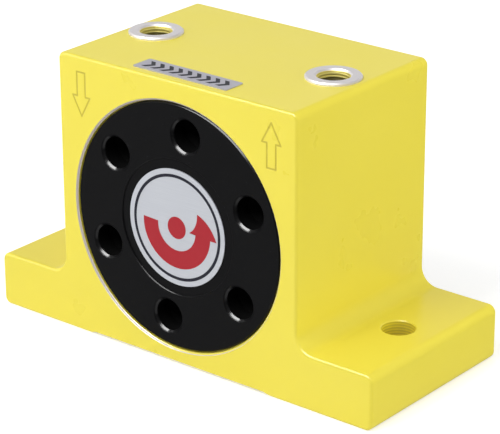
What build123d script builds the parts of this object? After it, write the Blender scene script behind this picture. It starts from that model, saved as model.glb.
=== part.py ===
from build123d import *
from math import asin, cos, degrees, radians, sin, tan
import os

# Pneumatic turbine vibrator in millimetres. The origin is the middle of the footprint on the
# plane of the foot pads, +X runs from foot to foot, +Z is up and the labelled cover faces -Y.

# Housing, a footed block cut from a bar profile
overall_length = 128.0
body_width = 80.0
body_height = 79.5
body_depth = 56.0
foot_thickness = 15.5
top_corner_radius = 2.0
foot_corner_radius = 2.3
base_corner_radius = 2.0
inner_corner_radius = 5.0
face_edge_radius = 0.8
pad_inner_half = 32.0
pad_slope = 2.6
pad_relief = 0.8

# Mounting holes, one through each foot
hole_pitch = 104.0
hole_diameter = 9.0
hole_chamfer = 0.3

# Bore for the covers, and the walls of the block left under and over it
bore_floor_wall = 4.65
bore_roof_wall = 6.15
cover_fit_clearance = 0.05
mouth_chamfer = 0.5
mouth_relief_step = 0.3
mouth_relief_depth = 1.6
cover_recess = 0.5
cover_thickness = 11.5

# Air ports with a flanged threaded bush each. The turbine chamber is tangent to their axes
port_side_wall = 10.0
port_bore_diameter = 8.57
port_mouth_chamfer = 0.6
bush_body_diameter = 12.0
bush_body_length = 10.0
bush_fit_clearance = 0.02
bush_flange_diameter = 15.0
bush_flange_height = 0.8
bush_flange_bevel = 0.35
passage_diameter = 8.0
inlet_passage_depth = 19.5
nozzle_diameter = 5.0

# Details of the threaded covers
cover_rim_chamfer = 0.35
boss_wall = 4.0
boss_length = 3.0
label_recess_depth = 0.4
label_recess_margin = 2.7
label_recess_chamfer = 0.2
label_land_width = 2.9
spanner_hole_count = 6
spanner_hole_diameter = 8.8
spanner_hole_depth = 5.5
spanner_edge_margin = 8.1
spanner_start_angle = 22.5
spanner_rim_chamfer = 0.7
drill_point_angle = 118.0

# Seals
seal_section = 2.0
seal_groove_width = 2.6
seal_groove_setback = 1.6

# Deep-groove bearings, 12 x 32 x 10 with seven balls
bearing_bore = 12.0
bearing_outside = 32.0
bearing_width = 10.0
ball_diameter = 5.953
ball_pitch_diameter = 22.0
ball_count = 7
race_conformity = 0.52
race_clearance = 0.01
race_shoulder_share = 0.32
outer_ring_corner = 0.6
inner_ring_corner = 0.3
shield_seat_step = 1.2
shield_seat_depth = 0.9
shield_thickness = 0.4
shield_gap = 0.35
shield_lip_width = 0.95
cage_half_width = 1.3
cage_back_wall = 0.35
cage_grip = 1.7
cage_pocket_clearance = 0.07
pocket_relief_depth = 0.6

# Wave spring that preloads the rear bearing
spring_height = 1.2
spring_thickness = 0.4
spring_width = 2.4
spring_edge_gap = 0.4
spring_waves = 3
points_per_wave = 8

# Shaft and the spring clip behind the wheel
shaft_middle_diameter = 16.0
collar_step = 2.5
collar_width = 2.0
shaft_end_chamfer = 0.6
clip_groove_depth = 0.4
clip_thickness = 1.0
clip_side_play = 0.1
clip_band_width = 1.7
clip_lug_radius = 1.5
clip_lug_offset = 1.9
clip_eye_radius = 0.6
clip_gap_half_angle = 14.0
clip_lug_angle = 22.0

# Turbine wheel
tip_clearance = 0.6
rim_side_clearance = 3.0
rim_flange_thickness = 4.0
rim_floor_thickness = 1.9
rim_edge_chamfer = 0.5
hub_side_gap = 4.0
hub_wall = 5.0
hub_step = 1.0
bucket_count = 18
bucket_depth = 5.5
bucket_open_share = 0.88
bucket_ramp_share = 0.58
bucket_ramp_sag = 0.5
bucket_hollow = 1.1
bucket_overcut = 1.5

# Unbalance of the wheel: filled holes on one side, empty ones opposite
slug_count = 3
slug_wall = 0.5
slug_gap = 1.9
heavy_side_angle = -90.0
slug_chamfer = 0.4

# Labels
label_thickness = 0.25
strip_length = 31.5
strip_width = 7.0
strip_corner_radius = 0.6
strip_centre_x = -0.4
strip_edge_distance = 2.7

# Values that follow from the ones above
half_depth = body_depth / 2
seat_radius = (body_height - bore_floor_wall - bore_roof_wall) / 2
mouth_radius = seat_radius + mouth_relief_step
bore_height = bore_floor_wall + seat_radius
cover_radius = seat_radius - cover_fit_clearance
cover_face_y = half_depth - cover_recess
shoulder_y = cover_face_y - cover_thickness
boss_face_y = shoulder_y - boss_length
bearing_middle_y = boss_face_y + bearing_width / 2
shaft_half_length = boss_face_y + bearing_width
ball_radius = ball_diameter / 2
ball_pitch_radius = ball_pitch_diameter / 2
race_radius = race_conformity * ball_diameter
race_shoulder = race_shoulder_share * ball_diameter
inner_shoulder_radius = ball_pitch_radius - race_shoulder
outer_shoulder_radius = ball_pitch_radius + race_shoulder
pocket_radius = bearing_outside / 2
spring_outer_radius = pocket_radius - spring_edge_gap
spring_inner_radius = spring_outer_radius - spring_width
spanner_circle_radius = cover_radius - spanner_edge_margin
label_recess_radius = spanner_circle_radius - spanner_hole_diameter / 2 - label_land_width
front_label_radius = label_recess_radius - label_recess_margin
port_offset = body_width / 2 - port_side_wall
chamber_radius = port_offset
wheel_radius = chamber_radius - tip_clearance
bucket_floor_radius = wheel_radius - bucket_depth
rim_inner_radius = bucket_floor_radius - rim_floor_thickness
rim_half_width = shoulder_y - rim_side_clearance
shaft_middle_radius = shaft_middle_diameter / 2
hub_radius = shaft_middle_radius + hub_wall
hub_half_width = boss_face_y - hub_side_gap
web_half_width = hub_half_width - hub_step
slug_radius = (rim_inner_radius - hub_radius) / 2 - slug_wall
slug_circle_radius = (hub_radius + rim_inner_radius) / 2
slug_step_angle = 2 * degrees(asin((slug_radius + slug_gap / 2) / slug_circle_radius))
clip_groove_radius = shaft_middle_radius - clip_groove_depth
bore_centre = Pos(0, 0, bore_height)


def polar(radius, angle):
    """Point in the front plane at a radius and an angle in degrees from +X."""
    return (radius * cos(radians(angle)), radius * sin(radians(angle)))


def turned(*points):
    """Solid of revolution about the Y axis from corners given as (radius, y)."""
    return revolve(make_face(Polyline(*points, close=True)), axis=Axis.Y)


def turned_ring(inner, outer, low, high):
    """Plain ring about the Y axis, or a disc where the inner radius is 0."""
    return turned((inner, low), (outer, low), (outer, high), (inner, high))


def drilled(radius, x, top, bottom):
    """Upright round cutter from one height down to another."""
    height = top - bottom
    return Pos(x, 0, bottom + height / 2) * Cylinder(radius, height)


def countersink(radius, chamfer_size, x, z, upward):
    """Cone that bevels the mouth of an upright hole."""
    wide = radius + chamfer_size
    if upward:
        return Pos(x, 0, z - chamfer_size / 2) * Cone(radius, wide, chamfer_size)
    return Pos(x, 0, z + chamfer_size / 2) * Cone(wide, radius, chamfer_size)


def housing_profile():
    """Outline of the footed block in the front plane, with its corners rounded."""
    half_length = overall_length / 2
    half_width = body_width / 2
    outline = make_face(Plane.XZ * Polyline(
        (-half_length, 0), (half_length, 0), (half_length, foot_thickness),
        (half_width, foot_thickness), (half_width, body_height), (-half_width, body_height),
        (-half_width, foot_thickness), (-half_length, foot_thickness), close=True))

    def corners(x, z):
        return [v for v in outline.vertices() if abs(abs(v.X) - x) < 1e-6 and abs(v.Z - z) < 1e-6]

    outline = fillet(corners(half_width, body_height), top_corner_radius)
    outline = fillet(corners(half_width, foot_thickness), inner_corner_radius)
    outline = fillet(corners(half_length, foot_thickness), foot_corner_radius)
    outline = fillet(corners(half_length, 0), base_corner_radius)
    return outline


def bore_cutter():
    """Through bore: relieved and bevelled mouths, cover seats and the chamber between."""
    outside = half_depth + 1
    wide = mouth_radius + mouth_chamfer + 1
    bevel_end = half_depth - mouth_chamfer
    relief_end = half_depth - mouth_relief_depth
    return turned(
        (0, -outside), (wide, -outside), (mouth_radius, -bevel_end), (mouth_radius, -relief_end),
        (seat_radius, -relief_end), (seat_radius, -shoulder_y), (chamber_radius, -shoulder_y),
        (chamber_radius, shoulder_y), (seat_radius, shoulder_y), (seat_radius, relief_end),
        (mouth_radius, relief_end), (mouth_radius, bevel_end), (wide, outside), (0, outside))


def housing():
    body = extrude(housing_profile(), amount=half_depth, both=True)
    front = body.faces().sort_by(Axis.Y)[0]
    back = body.faces().sort_by(Axis.Y)[-1]
    body = fillet(front.outer_wire().edges() + back.outer_wire().edges(), face_edge_radius)

    relief = make_face(Plane.XZ * Polyline(
        (-pad_inner_half, 0), (pad_inner_half, 0),
        (pad_inner_half - pad_slope, pad_relief), (pad_slope - pad_inner_half, pad_relief),
        close=True))
    body -= extrude(relief, amount=body_depth, both=True)
    body -= bore_centre * bore_cutter()

    hole_radius = hole_diameter / 2
    for x in (-hole_pitch / 2, hole_pitch / 2):
        body -= drilled(hole_radius, x, foot_thickness, 0)
        body -= countersink(hole_radius, hole_chamfer, x, foot_thickness, True)
        body -= countersink(hole_radius, hole_chamfer, x, 0, False)

    seat = bush_body_diameter / 2 + bush_fit_clearance
    for x in (-port_offset, port_offset):
        body -= drilled(seat, x, body_height, body_height - bush_body_length)
    passage = passage_diameter / 2
    body -= drilled(passage, -port_offset, body_height, body_height - inlet_passage_depth)
    body -= drilled(nozzle_diameter / 2, -port_offset, body_height, bore_height)
    body -= drilled(passage, port_offset, body_height, bore_height)
    return body


def cover(pocket_depth):
    """Threaded cover, outer face towards -Y, with a bearing pocket in its inner boss."""
    face = -cover_face_y
    inner = face + cover_thickness
    end = inner + boss_length
    floor = end - pocket_depth
    groove_end = inner - seal_groove_setback
    groove_start = groove_end - seal_groove_width
    groove_radius = seat_radius - seal_section
    boss_radius = pocket_radius + boss_wall
    relief_floor = floor - pocket_relief_depth
    disc = turned(
        (0, face + label_recess_depth), (label_recess_radius, face + label_recess_depth),
        (label_recess_radius, face + label_recess_chamfer),
        (label_recess_radius + label_recess_chamfer, face), (cover_radius - cover_rim_chamfer, face),
        (cover_radius, face + cover_rim_chamfer), (cover_radius, groove_start),
        (groove_radius, groove_start), (groove_radius, groove_end), (cover_radius, groove_end),
        (cover_radius, inner - cover_rim_chamfer), (cover_radius - cover_rim_chamfer, inner),
        (boss_radius, inner), (boss_radius, end), (pocket_radius, end), (pocket_radius, floor),
        (spring_inner_radius, floor), (spring_inner_radius, relief_floor), (0, relief_floor))

    radius = spanner_hole_diameter / 2
    bottom = face + spanner_hole_depth
    tip = bottom + radius / tan(radians(drill_point_angle / 2))
    drill = turned((0, face - 1), (radius, face - 1), (radius, bottom), (0, tip))
    for i in range(spanner_hole_count):
        angle = spanner_start_angle + 360 / spanner_hole_count * i
        x, z = polar(spanner_circle_radius, angle)
        disc -= Pos(x, 0, z) * drill
    rims = [e for e in disc.edges().filter_by(GeomType.CIRCLE)
            if abs(e.radius - radius) < 1e-6 and abs(e.center().Y - face) < 1e-6]
    return chamfer(rims, spanner_rim_chamfer)


def seal():
    """Cord ring in the groove of a front cover."""
    y = -shoulder_y - seal_groove_setback - seal_groove_width / 2
    ring = Torus(seat_radius - seal_section / 2, seal_section / 2)
    return Pos(0, y, 0) * Rot(90, 0, 0) * ring


def race_cutter(centre_radius):
    """Torus that leaves the running groove for the balls in a bearing ring."""
    return Rot(90, 0, 0) * Torus(centre_radius, race_radius)


def bearing_inner_ring():
    half = bearing_width / 2
    bore = bearing_bore / 2
    shoulder = inner_shoulder_radius
    c = inner_ring_corner
    ring = turned(
        (bore + c, -half), (shoulder - c, -half), (shoulder, c - half), (shoulder, half - c),
        (shoulder - c, half), (bore + c, half), (bore, half - c), (bore, c - half))
    contact = ball_pitch_radius - ball_radius - race_clearance
    return ring - race_cutter(contact + race_radius)


def bearing_outer_ring():
    half = bearing_width / 2
    outside = bearing_outside / 2
    step = half - shield_seat_depth
    seat = outer_shoulder_radius + shield_seat_step
    c = outer_ring_corner
    ring = turned(
        (outer_shoulder_radius, -step), (seat, -step), (seat, -half), (outside - c, -half),
        (outside, c - half), (outside, half - c), (outside - c, half), (seat, half),
        (seat, step), (outer_shoulder_radius, step))
    contact = ball_pitch_radius + ball_radius + race_clearance
    return ring - race_cutter(contact - race_radius)


def bearing_shield(side):
    """Dished sheet ring that closes one side of a bearing."""
    low = bearing_width / 2 - shield_seat_depth
    t = shield_thickness
    inner = inner_shoulder_radius + shield_gap
    lip = inner + shield_lip_width
    outer = outer_shoulder_radius + shield_seat_step
    ring = turned(
        (inner, low + t), (lip, low + t), (lip + t, low), (outer, low), (outer, low + t),
        (lip + 2 * t, low + t), (lip + t, low + 2 * t), (inner, low + 2 * t))
    return ring if side > 0 else ring.mirror(Plane.XZ)


def ball_centres():
    return [polar(ball_pitch_radius, 90 + 360 / ball_count * i) for i in range(ball_count)]


def bearing_balls():
    balls = [Pos(x, 0, z) * Sphere(ball_radius) for x, z in ball_centres()]
    return Compound([ball.solid() for ball in balls])


def bearing_cage():
    """Crown ring that snaps over the balls from one side."""
    pocket = ball_radius + cage_pocket_clearance
    inner = ball_pitch_radius - cage_half_width
    outer = ball_pitch_radius + cage_half_width
    crown = turned_ring(inner, outer, -pocket - cage_back_wall, cage_grip)
    for x, z in ball_centres():
        crown -= Pos(x, 0, z) * Sphere(pocket)
    return crown


def wave_spring():
    """Thin ring bent into even waves round its circle, closed by four ruled walls."""
    rise = (spring_height - spring_thickness) / 2
    count = spring_waves * points_per_wave

    def wavy_edge(radius, offset):
        points = []
        for i in range(count):
            angle = 360 / count * i
            x, z = polar(radius, angle)
            points.append((x, offset + rise * sin(radians(angle * spring_waves)), z))
        return Spline(*points, periodic=True).edge()

    half = spring_thickness / 2
    corners = [
        wavy_edge(spring_inner_radius, -half), wavy_edge(spring_outer_radius, -half),
        wavy_edge(spring_outer_radius, half), wavy_edge(spring_inner_radius, half)]
    walls = [Face.make_surface_from_curves(corners[i - 1], corners[i]) for i in range(4)]
    middle = shaft_half_length + spring_height / 2
    return Pos(0, middle, 0) * Solid(Shell(walls))


def rotor_shaft():
    """Stepped shaft: bearing seats, a collar and a groove for the retaining ring."""
    end = shaft_half_length
    seat = bearing_bore / 2
    middle = shaft_middle_radius
    collar = middle + collar_step
    collar_start = -hub_half_width - collar_width
    c = shaft_end_chamfer
    clip_end = hub_half_width + clip_thickness + clip_side_play
    return turned(
        (0, -end), (seat - c, -end), (seat, c - end), (seat, -boss_face_y),
        (middle, -boss_face_y), (middle, collar_start), (collar, collar_start),
        (collar, -hub_half_width), (middle, -hub_half_width),
        (middle, hub_half_width), (clip_groove_radius, hub_half_width),
        (clip_groove_radius, clip_end), (middle, clip_end), (middle, boss_face_y),
        (seat, boss_face_y), (seat, end - c), (seat - c, end), (0, end))


def bucket():
    """Cutter for one bucket: a shallow ramp that ends in a hollow driving wall."""
    pitch = 360 / bucket_count
    tail = polar(wheel_radius, 0)
    low = polar(bucket_floor_radius, pitch * bucket_ramp_share)
    tip_angle = pitch * bucket_open_share
    tip = polar(wheel_radius, tip_angle)
    ramp = SagittaArc(tail, low, bucket_ramp_sag)
    wall = SagittaArc(low, tip, bucket_hollow)
    outside = Polyline(
        tip, polar(wheel_radius + bucket_overcut, tip_angle),
        polar(wheel_radius + bucket_overcut, 0), tail)
    shape = make_face(Plane.XZ * Curve([ramp, wall, outside]))
    return extrude(shape, amount=rim_half_width - rim_flange_thickness, both=True)


def turbine_wheel():
    """Bucketed rim, web and hub, with the holes of the unbalance in the web."""
    c = rim_edge_chamfer
    wheel = turned(
        (shaft_middle_radius, -hub_half_width), (hub_radius, -hub_half_width),
        (hub_radius, -web_half_width), (rim_inner_radius, -web_half_width),
        (rim_inner_radius, -rim_half_width), (wheel_radius - c, -rim_half_width),
        (wheel_radius, c - rim_half_width), (wheel_radius, rim_half_width - c),
        (wheel_radius - c, rim_half_width), (rim_inner_radius, rim_half_width),
        (rim_inner_radius, web_half_width), (hub_radius, web_half_width),
        (hub_radius, hub_half_width), (shaft_middle_radius, hub_half_width))
    cutter = bucket()
    for i in range(bucket_count):
        wheel -= Rot(0, -360 / bucket_count * i, 0) * cutter
    drill = turned_ring(0, slug_radius, -web_half_width, web_half_width)
    for middle in (heavy_side_angle, -heavy_side_angle):
        for x, z in slug_centres(middle):
            wheel -= Pos(x, 0, z) * drill
    return wheel


def slug_centres(middle_angle):
    first = middle_angle - slug_step_angle * (slug_count - 1) / 2
    return [polar(slug_circle_radius, first + slug_step_angle * i) for i in range(slug_count)]


def unbalance_slug(x, z):
    c = slug_chamfer
    half = web_half_width
    pin = turned(
        (0, -half), (slug_radius - c, -half), (slug_radius, c - half), (slug_radius, half - c),
        (slug_radius - c, half), (0, half))
    return Pos(x, 0, z) * pin


def retaining_ring():
    """Open spring ring with two eyed lugs, in the groove behind the wheel."""
    inner = clip_groove_radius
    lugs = [polar(inner + clip_lug_offset, 90 + sign * clip_lug_angle) for sign in (-1, 1)]
    band = Circle(inner + clip_band_width)
    for x, z in lugs:
        band += Pos(x, z) * Circle(clip_lug_radius)
        band -= Pos(x, z) * Circle(clip_eye_radius)
    band -= Circle(inner)
    far = 2 * inner
    band -= make_face(Polyline(
        (0, 0), polar(far, 90 - clip_gap_half_angle), polar(far, 90 + clip_gap_half_angle),
        close=True))
    plate = extrude(Plane.XZ * band, amount=-clip_thickness)
    return Pos(0, hub_half_width, 0) * plate


def port_bush():
    """Flanged bush with the air thread, standing on the housing top at x = 0."""
    r = bush_flange_bevel
    flange = bush_flange_diameter / 2
    body = bush_body_diameter / 2
    bore = port_bore_diameter / 2
    c = port_mouth_chamfer
    top = bush_flange_height
    shape = Plane.XZ * Polyline(
        (bore, -bush_body_length), (body, -bush_body_length), (body, 0), (flange, 0),
        (flange, top - r), (flange - r, top), (bore + c, top), (bore, top - c), close=True)
    return Pos(0, 0, body_height) * revolve(make_face(shape), axis=Axis.Z)


def front_label():
    """Round foil in the recess of the front cover."""
    floor = label_recess_depth - cover_face_y
    return turned_ring(0, front_label_radius, floor - label_thickness, floor)


def top_label():
    """Foil strip near the front edge of the housing top."""
    outline = RectangleRounded(strip_length, strip_width, strip_corner_radius)
    centre_y = strip_edge_distance + strip_width / 2 - half_depth
    return Pos(strip_centre_x, centre_y, body_height) * extrude(outline, amount=label_thickness)


def build():
    """Every node by name, in place."""
    turned_round = Rot(0, 0, 180)
    nodes = {"housing": housing()}
    nodes["front_cover"] = bore_centre * cover(bearing_width)
    nodes["rear_cover"] = bore_centre * turned_round * cover(bearing_width + spring_height)
    nodes["front_cover_seal"] = bore_centre * seal()
    nodes["rear_cover_seal"] = bore_centre * turned_round * seal()
    nodes["turbine_wheel"] = bore_centre * turbine_wheel()
    nodes["rotor_shaft"] = bore_centre * rotor_shaft()
    nodes["wheel_retaining_ring"] = bore_centre * retaining_ring()
    for number, (x, z) in enumerate(slug_centres(heavy_side_angle), start=1):
        nodes[f"unbalance_slug_{number}"] = bore_centre * unbalance_slug(x, z)
    for side, sign in (("front", -1), ("rear", 1)):
        place = bore_centre * Pos(0, sign * bearing_middle_y, 0)
        turn = Rot(0, 0, 0) if sign < 0 else turned_round
        nodes[f"{side}_bearing_outer_ring"] = place * bearing_outer_ring()
        nodes[f"{side}_bearing_inner_ring"] = place * bearing_inner_ring()
        nodes[f"{side}_bearing_balls"] = place * bearing_balls()
        nodes[f"{side}_bearing_cage"] = place * turn * bearing_cage()
        nodes[f"{side}_bearing_cover_shield"] = place * bearing_shield(sign)
        nodes[f"{side}_bearing_wheel_shield"] = place * bearing_shield(-sign)
    nodes["rear_preload_spring"] = bore_centre * wave_spring()
    nodes["inlet_bush"] = Pos(-port_offset, 0, 0) * port_bush()
    nodes["outlet_bush"] = Pos(port_offset, 0, 0) * port_bush()
    nodes["front_label"] = bore_centre * front_label()
    nodes["top_label"] = top_label()
    return nodes


os.makedirs("parts", exist_ok=True)
for name, shape in build().items():
    export_step(shape, f"parts/{name}.step")
    print(name, round(shape.volume, 1))
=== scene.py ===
# %% [markdown]
# Compressed-air turbine vibrator, dressed for a studio picture.
# The solids come in finished: block housing, two screw-in covers, port bushes and all that
# turns inside. This script gives each of them the finish of the real metal, adds the prints on
# the labels as thin films of ink, and sets up the studio.

# %% Load the frame
import math
import bpy
import numpy as np
from mathutils import Matrix, Vector


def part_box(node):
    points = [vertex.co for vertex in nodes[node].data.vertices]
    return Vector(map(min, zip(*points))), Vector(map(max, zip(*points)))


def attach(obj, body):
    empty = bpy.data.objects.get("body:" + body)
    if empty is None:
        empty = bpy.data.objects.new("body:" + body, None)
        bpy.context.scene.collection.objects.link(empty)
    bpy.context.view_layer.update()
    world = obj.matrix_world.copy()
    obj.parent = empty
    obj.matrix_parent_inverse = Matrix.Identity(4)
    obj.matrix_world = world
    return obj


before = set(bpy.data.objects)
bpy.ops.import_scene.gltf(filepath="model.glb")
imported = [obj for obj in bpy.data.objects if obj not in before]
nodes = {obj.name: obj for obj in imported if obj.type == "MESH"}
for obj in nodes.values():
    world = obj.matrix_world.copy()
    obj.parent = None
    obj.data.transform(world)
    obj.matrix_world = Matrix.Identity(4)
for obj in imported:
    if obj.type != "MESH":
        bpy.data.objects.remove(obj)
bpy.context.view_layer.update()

# %% [markdown]
# All lengths below are metres, because the frame is. The real object is thought of in
# millimetres, so one named factor turns the one into the other. Places are read from the
# solids' own boxes wherever a box can say them, so paint and prints stay where they belong.

# %% Measures shared by the cells
MM = 0.001
cover_low, cover_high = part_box("front_cover")
bore_z = (cover_low[2] + cover_high[2]) / 2
cover_radius = (cover_high[0] - cover_low[0]) / 2
front_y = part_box("housing")[0][1]
print("bore height", round(bore_z, 4), "front face", round(front_y, 4))

# %% [markdown]
# Shader trees are easier to read when a node is made by one short call. These helpers add a
# node, plug in what is given and hand back its output. Numbers go on the node's own sockets.

# %% Helpers that build shader trees


def add(tree, kind, **settings):
    """New node of a kind, with its settings written on it."""
    node = tree.nodes.new(kind)
    for key, value in settings.items():
        setattr(node, key, value)
    return node


def plug(tree, value, socket):
    """Link an output to a socket, or write a plain value on the socket."""
    if isinstance(value, bpy.types.NodeSocket):
        tree.links.new(value, socket)
    else:
        socket.default_value = value


def math_node(tree, operation, a, b=0.0, clamp=False):
    """Result of one arithmetic step on two values."""
    node = add(tree, "ShaderNodeMath", operation=operation, use_clamp=clamp)
    plug(tree, a, node.inputs[0])
    plug(tree, b, node.inputs[1])
    return node.outputs[0]


def plus(tree, a, b, clamp=False):
    """a + b, kept from 0 to 1 where clamp is on."""
    return math_node(tree, "ADD", a, b, clamp)


def minus(tree, a, b, clamp=False):
    """a - b, kept from 0 to 1 where clamp is on."""
    return math_node(tree, "SUBTRACT", a, b, clamp)


def times(tree, a, b):
    """a times b."""
    return math_node(tree, "MULTIPLY", a, b)


def greater(tree, a, b):
    """The larger of a and b, which joins two masks."""
    return math_node(tree, "MAXIMUM", a, b)


def size_of(tree, a):
    """The value without its sign."""
    return math_node(tree, "ABSOLUTE", a)


def vector_node(tree, operation, a, b=(0.0, 0.0, 0.0)):
    """Result of one vector step: a vector, or a number for dot products and lengths."""
    node = add(tree, "ShaderNodeVectorMath", operation=operation)
    plug(tree, a, node.inputs[0])
    plug(tree, b, node.inputs[1])
    number = operation in {"DOT_PRODUCT", "LENGTH", "DISTANCE"}
    return node.outputs["Value" if number else "Vector"]


def scaled(tree, vector, factor):
    """Vector times a number."""
    node = add(tree, "ShaderNodeVectorMath", operation="SCALE")
    plug(tree, vector, node.inputs[0])
    plug(tree, factor, node.inputs["Scale"])
    return node.outputs["Vector"]


def split(tree, vector):
    """The three parts of a vector."""
    node = add(tree, "ShaderNodeSeparateXYZ")
    plug(tree, vector, node.inputs[0])
    return node.outputs


def joined(tree, x, y=0.0):
    """Flat vector from two parts."""
    node = add(tree, "ShaderNodeCombineXYZ")
    plug(tree, x, node.inputs[0])
    plug(tree, y, node.inputs[1])
    return node.outputs[0]


print("helpers for arithmetic and vectors are ready")

# %% [markdown]
# A mask is a value from 0 to 1 that says where on the surface something shows. Most masks
# here are a distance carried through a smooth ramp. A random field is turned into a shade
# or a roughness in the same way: its values crowd round the middle, so the ramp takes in
# only that stretch and the whole of the wanted range gets used.

# %% Helpers for masks, colours and random fields
field_low, field_high = 0.3, 0.7


def ramp(tree, value, low, high, to_low=0.0, to_high=1.0):
    """Value carried smoothly from one range to another and held at the ends."""
    node = add(tree, "ShaderNodeMapRange", clamp=True, interpolation_type="SMOOTHSTEP")
    plug(tree, value, node.inputs["Value"])
    ends = {"From Min": low, "From Max": high, "To Min": to_low, "To Max": to_high}
    for key, number in ends.items():
        node.inputs[key].default_value = number
    return node.outputs["Result"]


def falling(tree, value, low, high):
    """1 up to a low bound, 0 from a high bound on."""
    return ramp(tree, value, low, high, 1.0, 0.0)


def varied(tree, field, least, most):
    """A random field carried to a range of its own."""
    return ramp(tree, field, field_low, field_high, least, most)


def mix_colour(tree, factor, a, b):
    """Colour a where the factor is 0 and colour b where it is 1."""
    node = add(tree, "ShaderNodeMix", data_type="RGBA")
    plug(tree, factor, node.inputs[0])
    for colour, socket in ((a, node.inputs[6]), (b, node.inputs[7])):
        plug(tree, (*colour, 1.0) if isinstance(colour, tuple) else colour, socket)
    return node.outputs[2]


def object_point(tree):
    """Place on the object, in metres."""
    return add(tree, "ShaderNodeTexCoord").outputs["Object"]


def noise(tree, point, scale, detail=3.0, rough=0.5):
    """Soft random field from 0 to 1."""
    node = add(tree, "ShaderNodeTexNoise")
    plug(tree, point, node.inputs["Vector"])
    for key, value in (("Scale", scale), ("Detail", detail), ("Roughness", rough)):
        plug(tree, value, node.inputs[key])
    return node.outputs["Fac"]


print("a random field is read from", field_low, "to", field_high)

# %% [markdown]
# Several finishes share the same small effects, so each effect is a node group with named
# sockets, made once. The first two are the grain of a coating and what a lathe leaves. The
# grain is a cloudy change of shade, a fine orange-peel height and a few dust specks. The
# lathe leaves hair-fine circles round an axis, told apart by their distance from it. Image
# textures could show both, but they blur up close, and noise never does.

# %% Groups for grain and turned metal
dust_scale = 2600.0
dust_from, dust_full = 0.76, 0.80


def new_group(name, inputs, outputs):
    """Empty node group with float or vector sockets, its input and its output node."""
    tree = bpy.data.node_groups.new(name, "ShaderNodeTree")
    for side, sockets in (("INPUT", inputs), ("OUTPUT", outputs)):
        for label, kind in sockets:
            tree.interface.new_socket(name=label, in_out=side, socket_type=f"NodeSocket{kind}")
    entry = tree.nodes.new("NodeGroupInput")
    result = tree.nodes.new("NodeGroupOutput")
    return tree, entry.outputs, result.inputs


def build_grain():
    """Shade = cloudy noise; Height = fine cells of the coating; Specks = rare dust."""
    tree, entry, result = new_group(
        "coating_grain", [("Cloud Scale", "Float"), ("Peel Scale", "Float")],
        [("Shade", "Float"), ("Height", "Float"), ("Specks", "Float")])
    point = object_point(tree)
    dust = noise(tree, point, dust_scale, detail=1.0)
    plug(tree, noise(tree, point, entry["Cloud Scale"], detail=4.0), result["Shade"])
    plug(tree, noise(tree, point, entry["Peel Scale"], detail=2.0), result["Height"])
    plug(tree, ramp(tree, dust, dust_from, dust_full), result["Specks"])
    return tree


def build_turning():
    """Rings = noise read along the distance from an axis, so it runs in circles round it."""
    tree, entry, result = new_group(
        "turned_rings", [("Centre", "Vector"), ("Keep", "Vector"), ("Pitch", "Float")],
        [("Rings", "Float"), ("Radius", "Float")])
    offset = vector_node(tree, "SUBTRACT", object_point(tree), entry["Centre"])
    flat = vector_node(tree, "MULTIPLY", offset, entry["Keep"])
    radius = vector_node(tree, "LENGTH", flat)
    line = joined(tree, math_node(tree, "DIVIDE", radius, entry["Pitch"]))
    plug(tree, noise(tree, line, 1.0, detail=2.0, rough=0.7), result["Rings"])
    plug(tree, radius, result["Radius"])
    return tree


def placed(tree, group, **values):
    """Group node in a tree, with values or links on its named inputs."""
    node = add(tree, "ShaderNodeGroup", node_tree=group)
    for key, value in values.items():
        plug(tree, value, node.inputs[key.replace("_", " ")])
    return node.outputs


def grain_on(tree, cloud_scale, peel_scale):
    """Grain of a coating at its own two scales."""
    return placed(tree, grain_group, Cloud_Scale=cloud_scale, Peel_Scale=peel_scale)


def rings_on(tree, pitch):
    """Lathe rings round the axis of the bore, which runs from front to back."""
    return placed(tree, turning_group, Centre=(0.0, 0.0, bore_z), Keep=(1.0, 0.0, 1.0),
                  Pitch=pitch)


grain_group = build_grain()
turning_group = build_turning()
print("groups:", [g.name for g in bpy.data.node_groups])

# %% [markdown]
# Two more groups measure distances. One gives the distance from a straight line, from which
# an engraved arrow is built up. The other finds the nearest spanner hole of a cover, so that
# its rim can be told from the face round it. Six separate distances would do the same, but
# folding the circle onto one hole needs only one.

# %% Groups for engraved lines and hole circles


def build_segment():
    """Distance from a point to the nearest place on the straight line from Start to End."""
    tree, entry, result = new_group(
        "line_distance", [("Point", "Vector"), ("Start", "Vector"), ("End", "Vector")],
        [("Distance", "Float")])
    along = vector_node(tree, "SUBTRACT", entry["End"], entry["Start"])
    away = vector_node(tree, "SUBTRACT", entry["Point"], entry["Start"])
    share = math_node(
        tree, "DIVIDE", vector_node(tree, "DOT_PRODUCT", away, along),
        vector_node(tree, "DOT_PRODUCT", along, along), clamp=True)
    nearest = scaled(tree, along, share)
    plug(tree, vector_node(tree, "DISTANCE", away, nearest), result["Distance"])
    return tree


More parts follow.
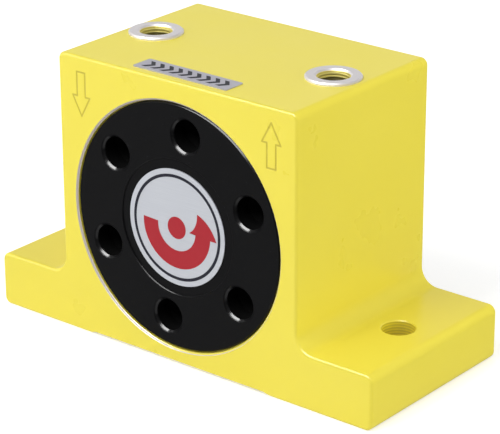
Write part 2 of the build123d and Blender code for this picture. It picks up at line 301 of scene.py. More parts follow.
def build_hole_circle():
    """Distance from the axis of the nearest hole on a circle of evenly spaced holes: the angle
    round the middle is wrapped to half a step either side of a hole, which folds all holes
    onto one. The rear cover is the front one turned round, so there x counts backwards."""
    tree, entry, result = new_group(
        "hole_circle", [("Centre", "Vector"), ("Circle Radius", "Float"), ("Start", "Float"),
                        ("Step", "Float")], [("Distance", "Float")])
    offset = vector_node(tree, "SUBTRACT", object_point(tree), entry["Centre"])
    x, y, z = split(tree, offset)
    radius = vector_node(tree, "LENGTH", vector_node(tree, "MULTIPLY", offset, (1.0, 0.0, 1.0)))
    facing = times(tree, math_node(tree, "SIGN", y), -1.0)
    angle = math_node(tree, "ARCTAN2", z, times(tree, x, facing))
    half_step = times(tree, entry["Step"], 0.5)
    wrap = add(tree, "ShaderNodeMath", operation="WRAP")
    plug(tree, minus(tree, angle, entry["Start"]), wrap.inputs[0])
    plug(tree, half_step, wrap.inputs[1])
    plug(tree, times(tree, half_step, -1.0), wrap.inputs[2])
    folded = joined(tree, times(tree, radius, math_node(tree, "COSINE", wrap.outputs[0])),
                    times(tree, radius, math_node(tree, "SINE", wrap.outputs[0])))
    hole_axis = joined(tree, entry["Circle Radius"])
    plug(tree, vector_node(tree, "DISTANCE", folded, hole_axis), result["Distance"])
    return tree


segment_group = build_segment()
hole_circle_group = build_hole_circle()
print("groups:", [g.name for g in bpy.data.node_groups])

# %% [markdown]
# Every finish starts from the same Principled shader. What is the same all over the surface
# is written on its sockets, and what changes over the surface is linked afterwards.

# %% Start of a finish


def finish_base(name, colour, metallic=0.0, roughness=0.5, coat=0.0, specular=0.5):
    """New material: itself, its tree and its Principled node."""
    material = bpy.data.materials.new(name)
    material.use_nodes = True
    tree = material.node_tree
    shader = tree.nodes["Principled BSDF"]
    shader.inputs["Base Color"].default_value = (*colour, 1.0)
    shader.inputs["Metallic"].default_value = metallic
    shader.inputs["Roughness"].default_value = roughness
    shader.inputs["Coat Weight"].default_value = coat
    shader.inputs["Specular IOR Level"].default_value = specular
    return material, tree, shader


def bump(tree, shader, height, strength, distance):
    """Tilt the shading by a height field of a given depth in metres."""
    node = add(tree, "ShaderNodeBump")
    node.inputs["Strength"].default_value = strength
    node.inputs["Distance"].default_value = distance
    plug(tree, height, node.inputs["Height"])
    plug(tree, node.outputs["Normal"], shader.inputs["Normal"])


def dress(node_name, material):
    """Put a material on every slot of a solid."""
    mesh = nodes[node_name].data
    if not mesh.materials:
        mesh.materials.append(material)
    for i in range(len(mesh.materials)):
        mesh.materials[i] = material


print("solids to dress:", len(nodes))

# %% [markdown]
# One arrow is engraved in the front face beside each port, down for the inlet and up for the outlet.
# The cut is 0.7 mm wide and shallow. The face belongs to a solid that stays as it is, so the distance
# to the arrow's outline drives a bump and a darker yellow instead, which is a painted shade for the
# shade in the cut.

# %% The arrows' outlines
stem_half = 1.42 * MM
head_half = 3.0 * MM
arrow_length = 12.2 * MM
head_length = 5.5 * MM
arrow_x = 32.0 * MM
arrow_tail_z = {"inlet": 75.1 * MM, "outlet": 63.3 * MM}


def arrow_outline(kind):
    """Seven corners of a block arrow on the front face, tail first."""
    x0 = -arrow_x if kind == "inlet" else arrow_x
    way = -1.0 if kind == "inlet" else 1.0
    tail = arrow_tail_z[kind]
    neck = tail + way * (arrow_length - head_length)
    tip = tail + way * arrow_length
    corners = [(-stem_half, tail), (-stem_half, neck), (-head_half, neck), (0.0, tip),
               (head_half, neck), (stem_half, neck), (stem_half, tail)]
    return [(x0 + x, 0.0, z) for x, z in corners]


def arrow_line_distance(tree, point):
    """Distance from a point of the front face to the nearest arrow line."""
    flat = vector_node(tree, "MULTIPLY", point, (1.0, 0.0, 1.0))
    nearest = None
    for kind in arrow_tail_z:
        corners = arrow_outline(kind)
        for start, end in zip(corners, corners[1:] + corners[:1]):
            distance = placed(tree, segment_group, Point=flat, Start=start, End=end)["Distance"]
            nearest = distance if nearest is None else math_node(tree, "MINIMUM", nearest, distance)
    return nearest


print("arrow corners:", {kind: len(arrow_outline(kind)) for kind in arrow_tail_z})

# %% [markdown]
# The housing reads as powder coated. In the photograph a pale ring runs round the bore's mouth with a
# yellow line inside it, and at the lower right it is yellow but for a thin grey line. This script takes
# the ring for a bevel cut through the coat, which left some of it at the lower right, and the line
# inside for a short wall that kept its paint. Deeper down, where nothing shows, it takes the bore to be
# bare. How the real one was machined isn't known. The duller line along the bevel's middle is no mark
# of the real part: it keeps the ring from burning out to plain white. The foot holes' walls show faint
# stripes. They are painted here as a darker wall with a wave of painted shade along the height, at the
# pitch a drill's feed marks would have. Each place is a mask made from distances, because the edges
# have to stay sharp at any size of picture.

# %% Masks of the machined places
hair = 0.01 * MM
bevel_depth = 0.5 * MM
bevel_inner = cover_radius + 0.35 * MM
bevel_outer = bevel_inner + bevel_depth
bevel_middle = (bevel_inner + bevel_outer) / 2
mouth_wall_depth = 1.6 * MM
coat_left_reach = 0.36 * MM
coat_stays_from, coat_stays_full = 0.35, 0.85
dull_line_half = 0.14 * MM
groove_half = 0.36 * MM
foot_hole_x = 52.0 * MM
foot_hole_radius = 4.5 * MM


def groove_mask(tree, point):
    """1 in the cuts of the arrows, on the front face alone."""
    line = arrow_line_distance(tree, point)
    in_front = falling(tree, split(tree, point)[1], front_y + 4 * hair, front_y + 5 * hair)
    return times(tree, falling(tree, line, 0.3 * groove_half, groove_half), in_front)


def bare_mask(tree, point, radius):
    """1 where metal shows: on the bevel, but for the coat left at the lower right, and in the
    bore beyond the wall of the mouth. How far a point lies to the lower right is x minus z."""
    x, y, z = split(tree, point)
    depth = size_of(tree, y)
    face = -front_y
    diagonal = math.sqrt(2.0) * bevel_middle
    coat_left = ramp(tree, minus(tree, x, z), coat_stays_from * diagonal - bore_z,
                     coat_stays_full * diagonal - bore_z, 0.0, coat_left_reach)
    bared = ramp(tree, minus(tree, radius, coat_left), bevel_inner - 5 * hair, bevel_inner - 2 * hair)
    in_bevel = falling(tree, radius, bevel_outer - hair, bevel_outer)
    at_mouth = ramp(tree, depth, face - bevel_depth, face - bevel_depth + hair)
    cut_bevel = times(tree, times(tree, in_bevel, at_mouth), bared)
    in_bore = falling(tree, radius, bevel_inner - 2 * hair, bevel_inner - hair)
    deep = falling(tree, depth, face - mouth_wall_depth - hair, face - mouth_wall_depth)
    return plus(tree, cut_bevel, times(tree, in_bore, deep), clamp=True)


def dull_line_mask(tree, radius):
    """1 along the middle of the bevel."""
    off_middle = size_of(tree, minus(tree, radius, bevel_middle))
    return falling(tree, off_middle, 0.5 * dull_line_half, dull_line_half)


def foot_hole_mask(tree, point):
    """1 on the walls of both foot holes, which lie evenly to the left and the right."""
    place = split(tree, point)
    beside = joined(tree, minus(tree, size_of(tree, place[0]), foot_hole_x), place[1])
    return falling(tree, vector_node(tree, "LENGTH", beside),
                   foot_hole_radius + 4 * hair, foot_hole_radius + 8 * hair)


print("bevel from", round(bevel_inner / MM, 2), "to", round(bevel_outer / MM, 2), "mm")

# %% [markdown]
# The coat itself is an even warm yellow with a faint cloud in it, a soft gloss and a fine orange peel.
# The masks lay the other surfaces over it: cut arrows in a darker yellow that paints the shade in the
# cuts, drilled walls darker and striped with painted shade, and bare metal with lathe rings.

# %% Yellow powder coat
coat_yellow, coat_shade = (0.86, 0.74, 0.072), (0.83, 0.71, 0.066)
# painted shade: the darker yellow of the arrow cuts stands for the shade inside them
groove_painted_shade = (0.58, 0.47, 0.025)
# painted shade: the foot-hole walls are darker, striped light and dark along their height
drilled_yellow, drilled_painted_shade = (0.84, 0.71, 0.03), (0.66, 0.55, 0.02)
bare_light, bare_dark = (0.68, 0.61, 0.56), (0.60, 0.54, 0.50)
dull_metal = (0.56, 0.49, 0.44)
satin_metal = 0.06
shade_stripe_pitch = 0.8 * MM
matt_roughness, bare_roughness = 0.45, 0.06
peel_height, lathe_height = 0.05, 0.05


def powder_coat():
    """Colour: paint, then the painted shade of the grooves, the drilled walls darker and striped with
    painted shade, and metal laid over it by their masks. Height: orange peel and lathe rings, less the
    depth of the grooves."""
    material, tree, shader = finish_base("yellow_powder_coat", coat_yellow, roughness=0.26)
    point = object_point(tree)
    grain = grain_on(tree, 38.0, 1500.0)
    rings = rings_on(tree, 0.12 * MM)
    groove = groove_mask(tree, point)
    bare = bare_mask(tree, point, rings["Radius"])
    dull_line = dull_line_mask(tree, rings["Radius"])
    drilled = foot_hole_mask(tree, point)

    shade_wave = math_node(tree, "SINE", times(tree, split(tree, point)[2], 2 * math.pi / shade_stripe_pitch))
    wall = mix_colour(tree, ramp(tree, shade_wave, -0.7, 0.7), drilled_painted_shade, drilled_yellow)
    paint = mix_colour(tree, grain["Shade"], coat_shade, coat_yellow)
    paint = mix_colour(tree, drilled, mix_colour(tree, groove, paint, groove_painted_shade), wall)
    metal = mix_colour(tree, rings["Rings"], bare_dark, bare_light)
    metal = mix_colour(tree, dull_line, metal, dull_metal)
    plug(tree, mix_colour(tree, bare, paint, metal), shader.inputs["Base Color"])
    plug(tree, times(tree, minus(tree, bare, dull_line, clamp=True), satin_metal),
         shader.inputs["Metallic"])

    matt = greater(tree, drilled, times(tree, dull_line, bare))
    extra = plus(tree, times(tree, matt, matt_roughness), times(tree, bare, bare_roughness))
    plug(tree, plus(tree, varied(tree, grain["Shade"], 0.27, 0.34), extra), shader.inputs["Roughness"])
    peel = minus(tree, times(tree, grain["Height"], peel_height), groove)
    lathe = times(tree, times(tree, rings["Rings"], bare), lathe_height)
    bump(tree, shader, plus(tree, peel, lathe), 0.8, 0.12 * MM)
    return material


housing_coat = powder_coat()
dress("housing", housing_coat)
print("housing:", housing_coat.name)

# %% [markdown]
# The covers read as black anodised aluminium. Anodising keeps a lathe's face rings, which give the
# black a dull silk instead of a mirror, so the rings move roughness and height a little. The spanner
# holes are nearly black in the photograph, so from a little under the face their inside is painted near
# black, a painted shade for the dark a deep hole holds, and made rough so it swallows the light. Hole
# rims, recess edge and border show small sharp glints there. A thin clear gloss, given as a mask on the
# coat, makes these edges pick up the lamps as burnished edges would. The rear cover isn't seen and is
# taken to be the same.

# %% Masks of the covers
hole_circle = cover_radius - 8.1 * MM
hole_radius = 4.4 * MM
first_hole, hole_step = math.radians(22.5), math.radians(60.0)
hole_dark_from, hole_dark_full = 0.8 * MM, 1.4 * MM
rim_width = 0.7 * MM
rim_gloss_fades, rim_gloss_ends = 0.45 * rim_width, 0.85 * rim_width
recess_edge = hole_circle - hole_radius - 2.9 * MM
border_width = 0.36 * MM
recess_gloss, border_gloss = 0.25, 0.6


def depth_below_cover(tree, point):
    """How deep a point lies under a cover's face, at the front and at the back alike."""
    return minus(tree, -cover_low[1], size_of(tree, split(tree, point)[1]))


def hole_masks(tree, point):
    """Inside of the spanner holes, where the painted shade goes, and their burnished rims."""
    hole = placed(tree, hole_circle_group, Centre=(0.0, 0.0, bore_z), Circle_Radius=hole_circle,
                  Start=first_hole, Step=hole_step)["Distance"]
    below = depth_below_cover(tree, point)
    inside = times(tree, ramp(tree, below, hole_dark_from, hole_dark_full),
                   falling(tree, hole, hole_radius, hole_radius + 10 * hair))
    near_hole = falling(tree, hole, hole_radius + rim_gloss_fades, hole_radius + rim_gloss_ends)
    return inside, times(tree, near_hole, falling(tree, below, rim_width, 1.2 * rim_width))


def edge_mask(tree, radius):
    """Edge of the label's recess, faint, and the border of the cover, stronger."""
    recess = times(tree, falling(tree, radius, recess_edge + 20 * hair, recess_edge + 25 * hair),
                   ramp(tree, radius, recess_edge - 15 * hair, recess_edge - 10 * hair))
    border = ramp(tree, radius, cover_radius - border_width, cover_radius - border_width + 3 * hair)
    return greater(tree, times(tree, recess, recess_gloss), times(tree, border, border_gloss))


print("hole circle", round(hole_circle / MM, 2), "mm, recess edge", round(recess_edge / MM, 2), "mm")

# %% [markdown]
# The dye is nearly black, so the shader's plain reflection is turned almost off, and what
# light comes back comes from the glossy edges. A brighter black would look grey under the
# big lamps.

# %% Black anodised covers
dye_light, dye_dark = (0.0068, 0.0068, 0.0074), (0.0048, 0.0048, 0.0053)
dust_grey = (0.025, 0.025, 0.027)
# painted shade: the near black laid inside the spanner holes, for the dark a deep hole holds
hole_painted_shade = (0.0008, 0.0008, 0.0008)
burnished_gloss = 0.5
hole_roughness = 0.5


def black_anodised():
    """Colour: dye with dust, and in the holes a painted shade near to nothing. Coat: the burnished
    edges.
    """
    material, tree, shader = finish_base("black_anodised", dye_light, roughness=0.32, specular=0.05)
    shader.inputs["Coat Roughness"].default_value = 0.18
    point = object_point(tree)
    grain = grain_on(tree, 60.0, 2400.0)
    rings = rings_on(tree, 0.16 * MM)
    in_hole, rim = hole_masks(tree, point)

    dye = mix_colour(tree, grain["Shade"], dye_dark, dye_light)
    dye = mix_colour(tree, grain["Specks"], dye, dust_grey)
    plug(tree, mix_colour(tree, in_hole, dye, hole_painted_shade), shader.inputs["Base Color"])
    silk = varied(tree, rings["Rings"], 0.28, 0.38)
    plug(tree, plus(tree, silk, times(tree, in_hole, hole_roughness)), shader.inputs["Roughness"])
    burnished = greater(tree, rim, edge_mask(tree, rings["Radius"]))
    plug(tree, times(tree, burnished, burnished_gloss), shader.inputs["Coat Weight"])
    height = plus(tree, times(tree, rings["Rings"], 0.6), times(tree, grain["Height"], 0.3))
    bump(tree, shader, height, 0.25, 0.02 * MM)
    return material


anodised = black_anodised()
dress("front_cover", anodised)
dress("rear_cover", anodised)
print("covers:", anodised.name)

# %% [markdown]
# The ports show silvery rings with yellow inside. They are taken for flanged bushes of nickel-plated
# brass, though clear plastic caps would look much the same. So the flange gets silky plating and the
# bore yellow brass. The turns of a thread make a fine wave along the axis, in the bump and as painted
# shade between the turns, and deeper down the brass falls into a painted shade, near black.

# %% Nickel-plated brass bushes
thread_pitch = 0.907 * MM
bush_bore_radius = 4.42 * MM
plate_light, plate_dark = (0.78, 0.75, 0.76), (0.70, 0.67, 0.68)
# painted shade: darker brass between the thread turns, and near black deeper in the bore
brass_light, brass_thread_painted_shade = (0.92, 0.82, 0.26), (0.66, 0.55, 0.12)
brass_painted_shade = (0.13, 0.11, 0.03)
dark_from, dark_full = 1.6 * MM, 2.6 * MM
plate_metal, brass_metal = 0.45, 0.3


def plated_brass(name, low, high):
    """Plating outside the bore and brass inside it, with painted shade between the thread turns and
    deeper down. Height: lathe rings on the flange, and in the bore the sine of the height over one turn
    of the thread."""
    centre = ((low[0] + high[0]) / 2, (low[1] + high[1]) / 2, 0.0)
    material, tree, shader = finish_base(name, plate_light, metallic=plate_metal, roughness=0.45)
    rings = placed(tree, turning_group, Centre=centre, Keep=(1.0, 1.0, 0.0), Pitch=0.1 * MM)
    grain = grain_on(tree, 90.0, 3000.0)
    z = split(tree, object_point(tree))[2]
    in_bore = falling(tree, rings["Radius"], bush_bore_radius, bush_bore_radius + 8 * hair)
    turn = math_node(tree, "SINE", times(tree, z, 2 * math.pi / thread_pitch))

    plate = mix_colour(tree, grain["Shade"], plate_dark, plate_light)
    brass = mix_colour(tree, ramp(tree, turn, -0.6, 0.6), brass_thread_painted_shade, brass_light)
    deep = falling(tree, z, high[2] - dark_full, high[2] - dark_from)
    brass = mix_colour(tree, deep, brass, brass_painted_shade)
    plug(tree, mix_colour(tree, in_bore, plate, brass), shader.inputs["Base Color"])
    plug(tree, ramp(tree, in_bore, 0.0, 1.0, plate_metal, brass_metal), shader.inputs["Metallic"])
    plug(tree, varied(tree, rings["Rings"], 0.38, 0.52), shader.inputs["Roughness"])
    height = plus(tree, times(tree, rings["Rings"], 0.06), times(tree, turn, in_bore))
    bump(tree, shader, height, 0.6, 0.1 * MM)
    return material


bush_boxes = {"inlet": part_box("inlet_bush"), "outlet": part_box("outlet_bush")}
for port, (low, high) in bush_boxes.items():
    dress(f"{port}_bush", plated_brass(f"plated_brass_{port}", low, high))
    print(port, "bush top at", round(high[2], 4))

# %% [markdown]
# Both labels read as silver-grey foil, a thin plastic film over metal, so they shine softly
# and evenly. A very fine brushing runs across them. It is noise drawn out a hundredfold along
# one axis, which needs no picture of brushed metal.

# %% Silver-grey foil
round_light, round_dark = (0.58, 0.60, 0.645), (0.53, 0.55, 0.60)
strip_light, strip_dark = (0.47, 0.46, 0.53), (0.42, 0.41, 0.475)
foil_dust = (0.32, 0.32, 0.36)
brushing_scale = 9000.0
drawn_out_along_x = (0.01, 1.0, 1.0)


def foil(name, light, dark):
    """Foil whose shade and height follow noise read with x shrunk a hundredfold."""
    material, tree, shader = finish_base(name, light, metallic=0.35, roughness=0.34, coat=0.25)
    stretched = vector_node(tree, "MULTIPLY", object_point(tree), drawn_out_along_x)
    brushing = noise(tree, stretched, brushing_scale, detail=2.0)
    grain = grain_on(tree, 120.0, 2000.0)
    tone = mix_colour(tree, ramp(tree, brushing, 0.25, 0.75), dark, light)
    plug(tree, mix_colour(tree, grain["Specks"], tone, foil_dust), shader.inputs["Base Color"])
    plug(tree, varied(tree, grain["Shade"], 0.30, 0.38), shader.inputs["Roughness"])
    bump(tree, shader, brushing, 0.15, 0.01 * MM)
    return material


dress("front_label", foil("label_foil_round", round_light, round_dark))
dress("top_label", foil("label_foil_strip", strip_light, strip_dark))
print("foils:", [m.name for m in bpy.data.materials if m.name.startswith("label_foil")])

# %% [markdown]
# The pieces inside never show on the closed vibrator and no photograph shows them, so their
# finishes are a guess at what such parts usually have: lathe rings on turned steel, milled
# aluminium, blackened springs, polished balls, a brown polymer cage and rubber cords. Two
# short functions cover them all, one for bare metal and one for soft plastics, and a table
# says which solid wears what.

# %% Finishes of the inner pieces


def turned_metal(name, dark, light, rough_low, rough_high, pitch=0.15 * MM):
    """Bare metal with rings round the rotor's axis."""
    material, tree, shader = finish_base(name, light, metallic=1.0, roughness=rough_high)
    rings = rings_on(tree, pitch)
    grain = grain_on(tree, 70.0, 2500.0)
    plug(tree, mix_colour(tree, grain["Shade"], dark, light), shader.inputs["Base Color"])
    plug(tree, varied(tree, rings["Rings"], rough_low, rough_high), shader.inputs["Roughness"])
    bump(tree, shader, rings["Rings"], 0.3, 0.01 * MM)
    return material


def plain_soft(name, dark, light, rough_low, rough_high):
    """Plastic or rubber with a cloudy shade and a fine skin."""
    material, tree, shader = finish_base(name, light, roughness=rough_high)
    grain = grain_on(tree, 150.0, 3500.0)
    plug(tree, mix_colour(tree, grain["Shade"], dark, light), shader.inputs["Base Color"])
    plug(tree, varied(tree, grain["Shade"], rough_low, rough_high), shader.inputs["Roughness"])
    bump(tree, shader, grain["Height"], 0.4, 0.02 * MM)
    return material


def both_sides(*parts):
    """Names of the front and the rear copy of each part."""
    return [f"{side}_{part}" for side in ("front", "rear") for part in parts]


inner_finishes = [
    (turned_metal("milled_aluminium", (0.62, 0.62, 0.64), (0.78, 0.78, 0.80), 0.25, 0.42),
     ["turbine_wheel"]),
    (turned_metal("ground_steel", (0.48, 0.48, 0.50), (0.62, 0.62, 0.64), 0.18, 0.30),
     ["rotor_shaft", "unbalance_slug_1", "unbalance_slug_2", "unbalance_slug_3"]),
    (turned_metal("blackened_spring_steel", (0.10, 0.10, 0.11), (0.18, 0.18, 0.20), 0.30, 0.45),
     ["wheel_retaining_ring", "rear_preload_spring"]),
    (turned_metal("bearing_steel", (0.58, 0.58, 0.60), (0.70, 0.70, 0.72), 0.10, 0.18, 0.08 * MM),
     both_sides("bearing_outer_ring", "bearing_inner_ring")),
    (turned_metal("polished_balls", (0.76, 0.76, 0.78), (0.82, 0.82, 0.84), 0.04, 0.08),
     both_sides("bearing_balls")),
    (turned_metal("shield_sheet", (0.50, 0.50, 0.52), (0.60, 0.60, 0.62), 0.26, 0.36),
     both_sides("bearing_cover_shield", "bearing_wheel_shield")),
    (plain_soft("cage_polymer", (0.16, 0.085, 0.035), (0.21, 0.12, 0.05), 0.42, 0.55),
     both_sides("bearing_cage")),
    (plain_soft("seal_rubber", (0.014, 0.014, 0.014), (0.024, 0.024, 0.024), 0.55, 0.70),
     both_sides("cover_seal")),
]
for material, names in inner_finishes:
    for name in names:
        dress(name, material)
print("inner solids dressed:", sum(len(names) for _, names in inner_finishes))

# %% [markdown]
# The prints on the labels are ink films a few hundredths of a millimetre thick. They could be painted
# by the label's shader, but as pieces of their own they stay crisp at any distance. Each is a band: a
# path on the label, a half-width that may change along it, and a thin rectangular section carried along
# the path.

# %% Bands on a flat label
ink_thickness = 0.03 * MM


def closed_mesh(name, rings, loop_along, material):
    """Mesh of quads over a grid of points (along, round, xyz), closed round the section. Each
    quad joins two neighbours of one section to the same two of the next section. An open band
    gets its first and its last section as end faces."""
    along, around = rings.shape[:2]
    index = np.arange(along * around).reshape(along, around)
    last = along if loop_along else along - 1
    here = index[np.arange(last) % along]
    ahead = index[(np.arange(last) + 1) % along]
    quads = np.stack([here, np.roll(here, -1, 1), np.roll(ahead, -1, 1), ahead], axis=-1)
    faces = [tuple(q) for q in quads.reshape(-1, 4).tolist()]
    if not loop_along:
        faces.append(tuple(index[0][::-1].tolist()))
        faces.append(tuple(index[-1].tolist()))
    mesh = bpy.data.meshes.new(name)
    mesh.from_pydata(rings.reshape(-1, 3).tolist(), [], faces)
    mesh.materials.append(material)
    mesh.validate()
    piece = bpy.data.objects.new(name, mesh)
    bpy.context.scene.collection.objects.link(piece)
    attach(piece, "stator")


def band(path, half_width, thickness, out, loop=False):
    """Grid of a thin band: each path point moves sideways by the half-width to both edges,
    and the far side is lifted by the thickness along the outward direction."""
    path = np.asarray(path, float)
    half = np.broadcast_to(np.asarray(half_width, float), len(path))[:, None]
    out = np.asarray(out, float)
    if loop:
        run = np.roll(path, -1, 0) - np.roll(path, 1, 0)
    else:
        run = np.gradient(path, axis=0)
    run /= np.linalg.norm(run, axis=1)[:, None]
    side = np.cross(out, run)
    low_left = path - side * half
    low_right = path + side * half
    lift = out * thickness
    return np.stack([low_left, low_right, low_right + lift, low_left + lift], axis=1)


print("ink films are", ink_thickness / MM, "mm thick")

# %% [markdown]
# Printing ink dries to a soft gloss over the foil. It needs little: a flat colour with a
# faint cloud, almost no coat, and the finest of grains.

# %% Ink finishes


def ink(name, light, dark):
    """Flat colour with a faint cloud and a fine grain."""
    material, tree, shader = finish_base(name, light, roughness=0.42, coat=0.05, specular=0.25)
    grain = grain_on(tree, 260.0, 5000.0)
    plug(tree, mix_colour(tree, grain["Shade"], dark, light), shader.inputs["Base Color"])
    bump(tree, shader, grain["Height"], 0.2, 0.01 * MM)
    return material


red_ink = ink("red_ink", (0.41, 0.012, 0.023), (0.365, 0.010, 0.019))
navy_ink = ink("navy_ink", (0.008, 0.009, 0.022), (0.005, 0.006, 0.016))
print("inks:", red_ink.name, navy_ink.name)

# %% [markdown]
# The round label carries a thin navy ring near its rim and, in red, a plain turning arrow
# with a hub. The arrow turns the way the air would drive this model's wheel. Ring and hub are bands
# that close on themselves. The arrow is one band whose half-width jumps out at the head and
# shrinks to nothing at the tip.

# %% Places round the label
label_out = (0.0, -1.0, 0.0)
label_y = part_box("front_label")[0][1]


def around_label(radius, degrees):
    """Points on the round label: x is the radius times the cosine of the angle, z the bore's
    height plus the radius times the sine. Angles count from +X, in degrees."""
    angle = np.radians(degrees)
    radius = np.broadcast_to(radius, angle.shape)
    return np.stack([radius * np.cos(angle), np.full(angle.shape, label_y),
                     bore_z + radius * np.sin(angle)], axis=1)


def full_turn(points):
    """Evenly spaced angles of a whole turn, the last one short of the first."""
    return np.linspace(0.0, 360.0, points, endpoint=False)


print("label face at y =", round(label_y, 4))

# %% [markdown]
# The ring is a circle as a path, with one half-width all round. It closes on itself, so it has
# no end faces and no seam.

# %% Ring near the rim
ring_radius, ring_half = 14.35 * MM, 0.42 * MM
ring_band = band(around_label(ring_radius, full_turn(144)), ring_half, ink_thickness, label_out,
                 loop=True)
closed_mesh("label_ring_print", ring_band, True, navy_ink)
print("ring radius:", round(ring_radius / MM, 2), "mm")

# %% [markdown]
# The arrow's path is a stretch of a circle. Its points before the neck carry the half-width of
# the tail, and those from the neck on carry a half-width that falls evenly with the angle.

# %% Turning arrow
turn_radius, turn_half = 8.9 * MM, 2.5 * MM
head_half_width, tip_half_width = 4.6 * MM, 0.01 * MM
turn_start, neck_angle, tip_angle = 176.0, 356.0, 398.0
shoulder_step = 0.2

tail_angles = np.linspace(turn_start, neck_angle, 96)
head_angles = np.linspace(neck_angle + shoulder_step, tip_angle, 24)
head_share = (tip_angle - head_angles) / (tip_angle - head_angles[0])
arrow_half = np.concatenate([np.full(len(tail_angles), turn_half),
                             head_half_width * head_share + tip_half_width])
arrow_path = around_label(turn_radius, np.concatenate([tail_angles, head_angles]))
closed_mesh("label_turn_arrow_print", band(arrow_path, arrow_half, ink_thickness, label_out),
            False, red_ink)
print("arrow points:", len(arrow_path))

# %% [markdown]
# The hub is a disc. As a closed band round half its radius it would fold over its own middle,
# so the band stops a hair short of it.

# %% Hub
hub_radius = 3.1 * MM
hub_half = 0.495 * hub_radius
hub_band = band(around_label(hub_radius / 2, full_turn(48)), hub_half, ink_thickness, label_out,
                loop=True)
closed_mesh("label_hub_print", hub_band, True, red_ink)

# %% [markdown]
# The strip on top carries a row of plain dark chevrons that point from the inlet to the
# outlet, the way the air goes. One chevron is a band over three points, whose bend is
# mitred, and the row is the same chevron set out at an even pitch.

# %% Chevrons of the strip
strip_low, strip_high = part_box("top_label")
strip_x, strip_y = [(strip_low[i] + strip_high[i]) / 2 for i in (0, 1)]
strip_z = strip_high[2]
chevron_count = 9
chevron_pitch = 3.1 * MM
chevron_reach = 0.85 * MM
chevron_rise = 2.1 * MM
chevron_half = 0.72 * MM


def chevron(centre_x):
    """Section grid of one chevron: tail, bend and tail, with edges shifted along x only."""
    y = np.array([-chevron_rise, 0.0, chevron_rise]) + strip_y
    x = np.array([-chevron_reach, chevron_reach, -chevron_reach]) + centre_x
    low_left = np.stack([x - chevron_half, y, np.full(3, strip_z)], axis=1)
    low_right = low_left + np.array([2 * chevron_half, 0.0, 0.0])
    lift = np.array([0.0, 0.0, ink_thickness])
    return np.stack([low_right, low_left, low_left + lift, low_right + lift], axis=1)


for number in range(chevron_count):
    offset = (number - (chevron_count - 1) / 2) * chevron_pitch
    closed_mesh(f"strip_chevron_{number + 1}_print", chevron(strip_x + offset), False, navy_ink)
print("chevrons:", chevron_count)

# %% [markdown]
# The studio is a white sweep of floor, an even white surround and four lamps. Light Path
# tells the floor what kind of ray meets it. To the camera it glows up to white, a little more
# far away, where less light of the lamps arrives. In reflections it shines on its own at the
# left and is dim at the right. To all other light it is matt white, so no extra light falls on
# the object, and the floor still takes its shadow.

# %% Floor
floor_half = 3.0
floor_white = (0.80, 0.80, 0.80)
glow_starts, glow_ends, glow_near, glow_far = 0.25, 1.0, 0.45, 0.66
shine_starts, shine_ends, shine_left, shine_right = 0.03, 0.09, 0.8, 0.03


def white_floor():
    """Matt white plus a glow for the camera, swapped for a plain shine in reflections."""
    material, tree, shader = finish_base("white_floor", floor_white, roughness=0.9, specular=0.1)
    point = object_point(tree)
    path = add(tree, "ShaderNodeLightPath")
    plug(tree, noise(tree, point, 4.0), shader.inputs["Roughness"])
    glow = add(tree, "ShaderNodeEmission")
    rising = ramp(tree, vector_node(tree, "LENGTH", point), glow_starts, glow_ends, glow_near, glow_far)
    plug(tree, times(tree, path.outputs["Is Camera Ray"], rising), glow.inputs["Strength"])
    seen = add(tree, "ShaderNodeAddShader")
    plug(tree, shader.outputs[0], seen.inputs[0])
    plug(tree, glow.outputs[0], seen.inputs[1])
    shine = add(tree, "ShaderNodeEmission")
    plug(tree, ramp(tree, split(tree, point)[0], shine_starts, shine_ends, shine_left, shine_right),
         shine.inputs["Strength"])
    surface = add(tree, "ShaderNodeMixShader")
    plug(tree, path.outputs["Is Glossy Ray"], surface.inputs[0])
    plug(tree, seen.outputs[0], surface.inputs[1])
    plug(tree, shine.outputs[0], surface.inputs[2])
    plug(tree, surface.outputs[0], tree.nodes["Material Output"].inputs["Surface"])
    return material


corners = [(-floor_half, -floor_half, 0.0), (floor_half, -floor_half, 0.0),
           (floor_half, floor_half, 0.0), (-floor_half, floor_half, 0.0)]
floor_mesh = bpy.data.meshes.new("floor")
floor_mesh.from_pydata(corners, [], [(0, 1, 2, 3)])
floor_mesh.materials.append(white_floor())
floor = bpy.data.objects.new("floor", floor_mesh)
bpy.context.scene.collection.objects.link(floor)
print("floor:", 2 * floor_half, "m wide")

# %% [markdown]
# In reflections the surround is a white wall behind the object, waist high and fading out to
# the right, with a dim room before it. So the top picks up a pale sheen from the wall, edges
# turned to the room stay calm, and the small glints are left to the lamps. To the camera the
# surround is plain white.

# %% Surround
ambient_level = 0.53
room_level, wall_level = 0.10, 0.74
wall_begins, wall_full = 0.0, 0.4
wall_top_starts, wall_top_ends = 0.42, 0.56
wall_right_starts, wall_right_ends = 0.1, 0.5

world = bpy.data.worlds.new("white_surround")
bpy.context.scene.world = world
world.use_nodes = True
surround = world.node_tree
background = surround.nodes["Background"]
background.inputs["Color"].default_value = (1.0, 1.0, 1.0, 1.0)
light_path = add(surround, "ShaderNodeLightPath")
way_x, way_y, way_z = split(surround, add(surround, "ShaderNodeTexCoord").outputs["Generated"])
wall = times(surround, ramp(surround, way_y, wall_begins, wall_full),
             falling(surround, way_z, wall_top_starts, wall_top_ends))
wall = times(surround, wall, falling(surround, way_x, wall_right_starts, wall_right_ends))
mirrored = ramp(surround, wall, 0.0, 1.0, room_level, wall_level)
to_white = times(surround, light_path.outputs["Is Camera Ray"], 1.0 - ambient_level)
strength = add(surround, "ShaderNodeMix", data_type="FLOAT")
plug(surround, light_path.outputs["Is Glossy Ray"], strength.inputs[0])
plug(surround, plus(surround, ambient_level, to_white), strength.inputs[2])
plug(surround, mirrored, strength.inputs[3])
plug(surround, strength.outputs[0], background.inputs["Strength"])
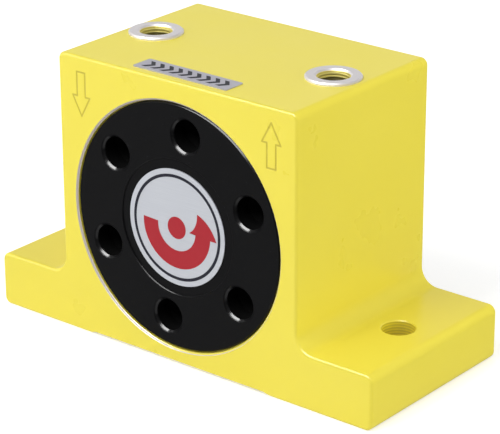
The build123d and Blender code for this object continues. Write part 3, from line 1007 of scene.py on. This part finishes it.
print("surround:", world.name)

# %% [markdown]
# Two softboxes, one above the front and one at the right, are hidden from reflections, where
# they would print bright squares on the gloss. A third, low on the left, is left visible and gives the
# front edges their soft band. The long strip above does the opposite: it lights nothing and is
# seen in reflections alone, as the small white glints on the hole rims and the bevel.

# %% Lamps
lamp_distance = 0.9


def outward(azimuth, elevation):
    """Direction from the object, in degrees: azimuth 0 is the front, 90 the right side, and
    the elevation lifts it off the level by its sine."""
    a, e = math.radians(azimuth), math.radians(elevation)
    return Vector((math.sin(a) * math.cos(e), -math.cos(a) * math.cos(e), math.sin(e)))


def soft_lamp(name, azimuth, elevation, width, height, power):
    """Flat lamp on a sphere round the bore's middle, looking at it."""
    lamp = bpy.data.lights.new(name, "AREA")
    lamp.shape = "RECTANGLE"
    lamp.size = width
    lamp.size_y = height
    lamp.energy = power
    way = outward(azimuth, elevation)
    place = Vector((0.0, 0.0, bore_z)) + way * lamp_distance
    holder = bpy.data.objects.new(name, lamp)
    bpy.context.scene.collection.objects.link(holder)
    holder.matrix_world = Matrix.Translation(place) @ way.to_track_quat("Z", "Y").to_matrix().to_4x4()
    return holder


key_softbox = soft_lamp("key_softbox", -8.0, 52.0, 0.34, 0.34, 3.2)
key_softbox.visible_glossy = False
side_softbox = soft_lamp("side_softbox", 110.0, 20.0, 0.5, 0.5, 3.2)
side_softbox.visible_glossy = False
soft_lamp("front_softbox", -50.0, 14.0, 0.6, 0.6, 2.75)
glint_strip = soft_lamp("glint_strip", -8.5, 53.0, 0.9, 0.26, 22.0)
glint_strip.visible_diffuse = False

# %% [markdown]
# The camera stands where the photograph's did. The fit of its straight edges and of the round
# cover gives the direction, the distance, a sixth of a degree of roll and the focal length in
# pixels of a frame 500 wide. Its turn is built from three axes: right, top, and back towards
# the eye.

# %% Camera
frame_width = 500.0
focal_pixels = 2368.2
camera_azimuth, camera_elevation, camera_roll = 39.048, 22.234, -0.166
camera_distance = 0.637472
camera_aim = Vector((0.00242, 0.0, 0.033954))

back = outward(camera_azimuth, camera_elevation)
level = outward(camera_azimuth + 90.0, 0.0)
up = back.cross(level)
roll = math.radians(camera_roll)
right = level * math.cos(roll) + up * math.sin(roll)
top = up * math.cos(roll) - level * math.sin(roll)
lens = bpy.data.cameras.new("studio_camera")
lens.sensor_width = 36.0
lens.sensor_fit = "HORIZONTAL"
lens.lens = focal_pixels / frame_width * lens.sensor_width
lens.clip_start = 0.01
camera = bpy.data.objects.new("studio_camera", lens)
bpy.context.scene.collection.objects.link(camera)
turn = Matrix((right, top, back)).transposed().to_4x4()
camera.matrix_world = Matrix.Translation(camera_aim + back * camera_distance) @ turn
bpy.context.scene.camera = camera
bpy.context.scene.view_settings.view_transform = "Standard"
print("lens", round(lens.lens, 2), "mm")
